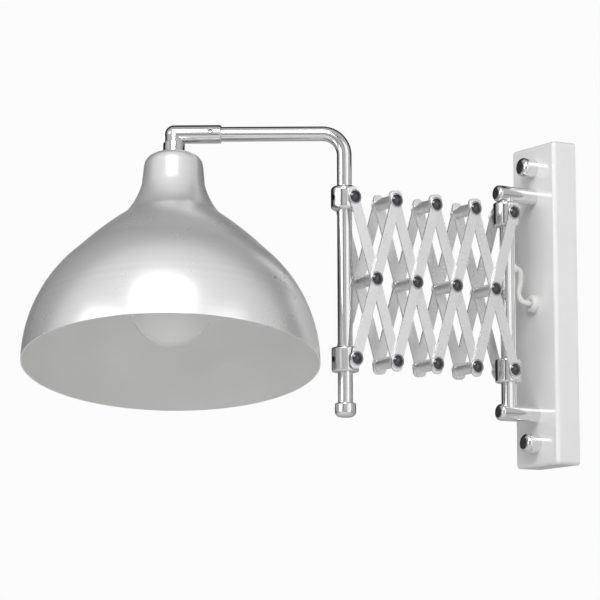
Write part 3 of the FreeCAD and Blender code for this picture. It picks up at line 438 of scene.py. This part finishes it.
def offset(points, wall):
    """The same outline, that far to the left of its way."""
    moved = []
    for i, point in enumerate(points):
        before = Vector(points[max(i - 1, 0)])
        after = Vector(points[min(i + 1, len(points) - 1)])
        way = (after - before).normalized()
        moved.append((point[0] - way.y * wall, point[1] + way.x * wall))
    moved[-1] = (points[-1][0], moved[-1][1])
    return moved


def islands(node):
    """The separate solids of a CAD node, each as a list of its points."""
    bm = bmesh.new()
    bm.from_mesh(NODES[node].data)
    bmesh.ops.remove_doubles(bm, verts=bm.verts, dist=WELD)
    found, seen = [], set()
    for start in bm.verts:
        if start in seen:
            continue
        seen.add(start)
        stack, points = [start], []
        while stack:
            vert = stack.pop()
            points.append(vert.co.copy())
            for edge in vert.link_edges:
                other = edge.other_vert(vert)
                if other not in seen:
                    seen.add(other)
                    stack.append(other)
        found.append(points)
    bm.free()
    return found


def washer_tree():
    """Geometry nodes: a flat washer, its axis along X, on every point."""
    tree = bpy.data.node_groups.new("Washers", "GeometryNodeTree")
    socket = tree.interface.new_socket
    socket("Points", in_out="INPUT", socket_type="NodeSocketGeometry")
    for label, value in (("Hole Radius", 0.003), ("Outer Radius", 0.0058), ("Thickness", 0.0004)):
        socket(label, in_out="INPUT", socket_type="NodeSocketFloat").default_value = value
    socket("Sides", in_out="INPUT", socket_type="NodeSocketInt").default_value = 40
    socket("Material", in_out="INPUT", socket_type="NodeSocketMaterial")
    socket("Washers", in_out="OUTPUT", socket_type="NodeSocketGeometry")
    given, out = tree.nodes.new("NodeGroupInput"), tree.nodes.new("NodeGroupOutput")
    link = tree.links.new
    total = add(tree, "ShaderNodeMath", operation="ADD")
    link(given.outputs["Hole Radius"], total.inputs[0])
    link(given.outputs["Outer Radius"], total.inputs[1])
    middle = add(tree, "ShaderNodeMath", operation="MULTIPLY")
    link(total.outputs[0], middle.inputs[0])
    middle.inputs[1].default_value = 0.5
    width = add(tree, "ShaderNodeMath", operation="SUBTRACT")
    link(given.outputs["Outer Radius"], width.inputs[0])
    link(given.outputs["Hole Radius"], width.inputs[1])
    ring = tree.nodes.new("GeometryNodeCurvePrimitiveCircle")
    link(middle.outputs[0], ring.inputs["Radius"])
    link(given.outputs["Sides"], ring.inputs["Resolution"])
    section = tree.nodes.new("GeometryNodeCurvePrimitiveQuadrilateral")
    link(width.outputs[0], section.inputs["Width"])
    link(given.outputs["Thickness"], section.inputs["Height"])
    washer = tree.nodes.new("GeometryNodeCurveToMesh")
    link(ring.outputs["Curve"], washer.inputs["Curve"])
    link(section.outputs["Curve"], washer.inputs["Profile Curve"])
    turned = tree.nodes.new("GeometryNodeTransform")
    turned.inputs["Rotation"].default_value = (0.0, math.pi / 2, 0.0)
    link(washer.outputs["Mesh"], turned.inputs["Geometry"])
    placed = tree.nodes.new("GeometryNodeInstanceOnPoints")
    link(given.outputs["Points"], placed.inputs["Points"])
    link(turned.outputs["Geometry"], placed.inputs["Instance"])
    real = tree.nodes.new("GeometryNodeRealizeInstances")
    link(placed.outputs["Instances"], real.inputs["Geometry"])
    finished = tree.nodes.new("GeometryNodeSetMaterial")
    link(real.outputs["Geometry"], finished.inputs["Geometry"])
    link(given.outputs["Material"], finished.inputs["Material"])
    link(finished.outputs["Geometry"], out.inputs["Washers"])
    return tree


def washers(name, places, body, material, sizes):
    """Washers on one body's rivets, as a plain mesh."""
    points = bpy.data.meshes.new(name)
    points.from_pydata(places, [], [])
    piece = bpy.data.objects.new(name, points)
    bpy.context.scene.collection.objects.link(piece)
    tree = bpy.data.node_groups.get("Washers") or washer_tree()
    modifier = piece.modifiers.new("Washers", "NODES")
    modifier.node_group = tree
    for item in tree.interface.items_tree:
        if item.in_out == "INPUT" and item.name in sizes:
            modifier[item.identifier] = sizes[item.name]
        elif item.name == "Material":
            modifier[item.identifier] = material
    bpy.context.view_layer.update()
    made = bpy.data.meshes.new_from_object(piece.evaluated_get(bpy.context.evaluated_depsgraph_get()))
    piece.modifiers.clear()
    piece.data = made
    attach(piece, body)
    return piece


# ---------------------------------------------------------------- operators

class OBJECT_OT_lamp_wall_plate(bpy.types.Operator):
    """Enamels the wall plate and dresses what is bolted to it"""
    bl_idname = "object.lamp_wall_plate"
    bl_label = "Wall Plate"

    def execute(self, context):
        dress("wall_plate", plate_enamel())
        for node in ("mounting_strap", "strap_studs", "post_nuts", "earth_screw"):
            dress(node, zinc_steel())
        for node in ("cover_nuts", "upper_post", "lower_post", "wall_rod"):
            dress(node, polished_nickel())
        for node in ("inlet_bush", "cord_grommet", "terminal_block"):
            dress(node, bush_plastic())
        dress("lead", lead_sheath())
        return {"FINISHED"}


class OBJECT_OT_lamp_lattice(bpy.types.Operator):
    """Dresses the scissor bars, their rivets and the spacers between them"""
    bl_idname = "object.lamp_lattice"
    bl_label = "Scissor Lattice"

    def execute(self, context):
        for node in NODES:
            if "_bar_" in node or node.startswith("spacers_"):
                dress(node, bright_bar())
            elif node.startswith("rivets_") or node.endswith("_pivots"):
                dress(node, rivet_painted_dark_reflection())
        settings = context.scene.lamp_metal
        sizes = {"Outer Radius": settings.washer / 2, "Thickness": settings.washer_thickness,
                 "Sides": settings.sides}
        for node in NODES:
            if node.startswith("rivets_") or node.endswith("_pivots"):
                places = []
                for points in islands(node):
                    low, high = min(p.x for p in points), max(p.x for p in points)
                    y = (min(p.y for p in points) + max(p.y for p in points)) / 2
                    z = (min(p.z for p in points) + max(p.z for p in points)) / 2
                    for end in (low, high):
                        if abs(end) > RIVET_END:
                            places.append((end - math.copysign(settings.head_rise, end), y, z))
                washers(f"{node}_washers", places, BODY_OF[node], zinc_steel(), sizes)
        return {"FINISHED"}


class OBJECT_OT_lamp_collars(bpy.types.Operator):
    """Dresses the four collars and their set screws"""
    bl_idname = "object.lamp_collars"
    bl_label = "Collars"

    def execute(self, context):
        for node in ("upper_wall_collar", "lower_wall_collar", "upper_lamp_collar", "lower_lamp_collar"):
            dress(node, polished_nickel())
        for node in ("upper_lamp_collar_set_screw", "lower_lamp_collar_set_screw"):
            dress(node, rivet_painted_dark_reflection())
        return {"FINISHED"}


class OBJECT_OT_lamp_arm(bpy.types.Operator):
    """Dresses the bent tube arm, its end cap and the swivel elbow on it"""
    bl_idname = "object.lamp_arm"
    bl_label = "Tube Arm"

    def execute(self, context):
        for node in ("arm_tube", "end_cap", "swivel_elbow", "coupling_ring", "threaded_nipple"):
            dress(node, polished_nickel())
        dress("elbow_set_screw", rivet_painted_dark_reflection())
        dress("lock_nut", zinc_steel())
        return {"FINISHED"}


class OBJECT_OT_lamp_shade(bpy.types.Operator):
    """Dresses the spun shade, satin outside and enamelled inside"""
    bl_idname = "object.lamp_shade"
    bl_label = "Spun Shade"

    def execute(self, context):
        settings = context.scene.lamp_shade
        outside = shade_outline(settings)
        inside = offset(outside, settings.sheet)
        outline = outside + inside[::-1]
        finishes = [0] * len(outside) + [1] * len(inside)
        bm = bmesh.new()
        rings = []
        for radius, along in outline:
            ring = []
            for k in range(settings.sides):
                turn = 2 * math.pi * k / settings.sides
                ring.append(bm.verts.new(SHADE_PLACE @ Vector((
                    radius * math.cos(turn), radius * math.sin(turn), along))))
            rings.append(ring)
        for i, low in enumerate(rings):
            high = rings[(i + 1) % len(rings)]
            for k in range(settings.sides):
                n = (k + 1) % settings.sides
                face = bm.faces.new((low[k], low[n], high[n], high[k]))
                face.material_index = finishes[i]
        bmesh.ops.recalc_face_normals(bm, faces=bm.faces)
        piece = new_piece("spun_shade", bm, BODY_OF["shade"],
                          (spun_outside(), enamel_inside()))
        piece.data.set_sharp_from_angle(angle=SHARP_ANGLE)
        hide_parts("shade")
        return {"FINISHED"}


class OBJECT_OT_lamp_bulb(bpy.types.Operator):
    """Dresses the lampholder and its opal bulb"""
    bl_idname = "object.lamp_bulb"
    bl_label = "Lampholder and Bulb"

    def execute(self, context):
        dress("socket_cap", zinc_steel())
        dress("socket_body", socket_porcelain())
        dress("bulb_cap", brass_cap())
        dress("bulb_glass", opal_glass())
        return {"FINISHED"}


class OBJECT_OT_lamp_stage(bpy.types.Operator):
    """Makes the pale floor and backdrop, the soft lights and the camera"""
    bl_idname = "object.lamp_stage"
    bl_label = "Stage"

    def execute(self, context):
        scene = context.scene
        settings = scene.lamp_stage
        a, e = math.radians(settings.azimuth), math.radians(settings.elevation)
        back = Vector((math.sin(a) * math.cos(e), -math.cos(a) * math.cos(e), math.sin(e)))
        right = Vector((math.cos(a), math.sin(a), 0.0))
        up = back.cross(right)
        turn = math.radians(settings.roll)
        right, up = (right * math.cos(turn) + up * math.sin(turn),
                     up * math.cos(turn) - right * math.sin(turn))
        camera = bpy.data.objects.new("Camera", bpy.data.cameras.new("Camera"))
        scene.collection.objects.link(camera)
        place = Matrix((right, up, back)).transposed().to_4x4()
        place.translation = MIDDLE + back * settings.distance
        camera.matrix_world = place
        camera.data.lens = LENS
        camera.data.sensor_width = SENSOR
        camera.data.clip_end = VIEW_END
        scene.camera = camera

        self.backdrop(scene, settings.backdrop)
        self.floor(scene)
        for name, way, size, power in LIGHTS:
            light = bpy.data.lights.new(name, "AREA")
            light.shape = "RECTANGLE"
            light.size, light.size_y = size
            light.energy = power
            lamp = bpy.data.objects.new(name, light)
            scene.collection.objects.link(lamp)
            lamp.location = MIDDLE + Vector(way)
            lamp.rotation_euler = (-Vector(way)).to_track_quat("-Z", "Y").to_euler()
        scene.view_settings.view_transform = "Standard"
        return {"FINISHED"}

    def backdrop(self, scene, brightness):
        """A world that is plain white to the camera, and banded and dimmer to all else."""
        world = bpy.data.worlds.new("Studio")
        scene.world = world
        world.use_nodes = True
        tree = world.node_tree
        mirrored = tree.nodes["Background"]
        mirrored.inputs["Strength"].default_value = ROOM_STRENGTH
        way = add(tree, "ShaderNodeTexCoord")
        facing = add(tree, "ShaderNodeVectorMath", operation="DOT_PRODUCT")
        tree.links.new(way.outputs["Generated"], facing.inputs[0])
        facing.inputs[1].default_value = ROOM_WAY
        reach = add(tree, "ShaderNodeMapRange")
        reach.inputs["From Min"].default_value = -1.0
        tree.links.new(facing.outputs["Value"], reach.inputs["Value"])
        room = add(tree, "ShaderNodeValToRGB")
        tree.links.new(reach.outputs["Result"], room.inputs["Fac"])
        while len(room.color_ramp.elements) < len(ROOM_BANDS):
            room.color_ramp.elements.new(0.5)
        for stop, (at, grey) in zip(room.color_ramp.elements, ROOM_BANDS):
            stop.position = at
            stop.color = (grey, grey, grey, 1.0)
        tree.links.new(room.outputs["Color"], mirrored.inputs["Color"])
        seen = add(tree, "ShaderNodeBackground")
        seen.inputs["Color"].default_value = (brightness, brightness, brightness, 1.0)
        path = add(tree, "ShaderNodeLightPath")
        mix = add(tree, "ShaderNodeMixShader")
        tree.links.new(path.outputs["Is Camera Ray"], mix.inputs["Fac"])
        tree.links.new(mirrored.outputs["Background"], mix.inputs[1])
        tree.links.new(seen.outputs["Background"], mix.inputs[2])
        tree.links.new(mix.outputs["Shader"], tree.nodes["World Output"].inputs["Surface"])

    def floor(self, scene):
        """A pale floor, lifted towards white for the camera and clear from below."""
        bm = bmesh.new()
        bmesh.ops.create_grid(bm, x_segments=1, y_segments=1, size=FLOOR_HALF)
        mesh = bpy.data.meshes.new("Floor")
        bm.to_mesh(mesh)
        bm.free()
        mesh.transform(Matrix.Translation((0.0, 0.0, FLOOR_HEIGHT)))
        floor = bpy.data.objects.new("Floor", mesh)
        scene.collection.objects.link(floor)
        material = bpy.data.materials.new("Floor")
        material.use_nodes = True
        tree = material.node_tree
        shader = tree.nodes["Principled BSDF"]
        grey = (FLOOR_GREY, FLOOR_GREY, FLOOR_GREY, 1.0)
        shader.inputs["Base Color"].default_value = grey
        shader.inputs["Roughness"].default_value = 0.9
        shader.inputs["Emission Color"].default_value = grey
        lift = add(tree, "ShaderNodeMath", operation="MULTIPLY")
        lift.inputs[1].default_value = FLOOR_LIFT
        sight = add(tree, "ShaderNodeLightPath")
        tree.links.new(sight.outputs["Is Camera Ray"], lift.inputs[0])
        tree.links.new(lift.outputs["Value"], shader.inputs["Emission Strength"])
        under = add(tree, "ShaderNodeNewGeometry")
        clear = add(tree, "ShaderNodeBsdfTransparent")
        either = add(tree, "ShaderNodeMixShader")
        tree.links.new(under.outputs["Backfacing"], either.inputs["Fac"])
        tree.links.new(shader.outputs["BSDF"], either.inputs[1])
        tree.links.new(clear.outputs["BSDF"], either.inputs[2])
        tree.links.new(either.outputs["Shader"], tree.nodes["Material Output"].inputs["Surface"])
        mesh.materials.append(material)


PIECES = (OBJECT_OT_lamp_wall_plate, OBJECT_OT_lamp_lattice, OBJECT_OT_lamp_collars, OBJECT_OT_lamp_arm,
          OBJECT_OT_lamp_shade, OBJECT_OT_lamp_bulb, OBJECT_OT_lamp_stage)
SETTINGS = (("lamp_shade", LampShadeSettings), ("lamp_metal", LampMetalSettings),
            ("lamp_plate", LampPlateSettings), ("lamp_stage", LampStageSettings))


class VIEW3D_PT_wall_lamp(bpy.types.Panel):
    """Lists the lamp's pieces and their settings"""
    bl_label = "Wall Lamp"
    bl_idname = "VIEW3D_PT_wall_lamp"
    bl_space_type = "VIEW_3D"
    bl_region_type = "UI"
    bl_category = "Wall Lamp"

    def draw(self, context):
        for piece in PIECES:
            self.layout.operator(piece.bl_idname)
        for name, group in SETTINGS:
            box = self.layout.box()
            for field in group.__annotations__:
                box.prop(getattr(context.scene, name), field)


def register():
    for name, group in SETTINGS:
        bpy.utils.register_class(group)
        setattr(bpy.types.Scene, name, PointerProperty(type=group))
    for piece in PIECES:
        bpy.utils.register_class(piece)
    bpy.utils.register_class(VIEW3D_PT_wall_lamp)


def unregister():
    bpy.utils.unregister_class(VIEW3D_PT_wall_lamp)
    for piece in reversed(PIECES):
        bpy.utils.unregister_class(piece)
    for name, group in reversed(SETTINGS):
        delattr(bpy.types.Scene, name)
        bpy.utils.unregister_class(group)


def main():
    register()
    bpy.ops.object.lamp_wall_plate()
    bpy.ops.object.lamp_lattice()
    bpy.ops.object.lamp_collars()
    bpy.ops.object.lamp_arm()
    bpy.ops.object.lamp_shade()
    bpy.ops.object.lamp_bulb()
    bpy.ops.object.lamp_stage()


if __name__ == "__main__":
    main()
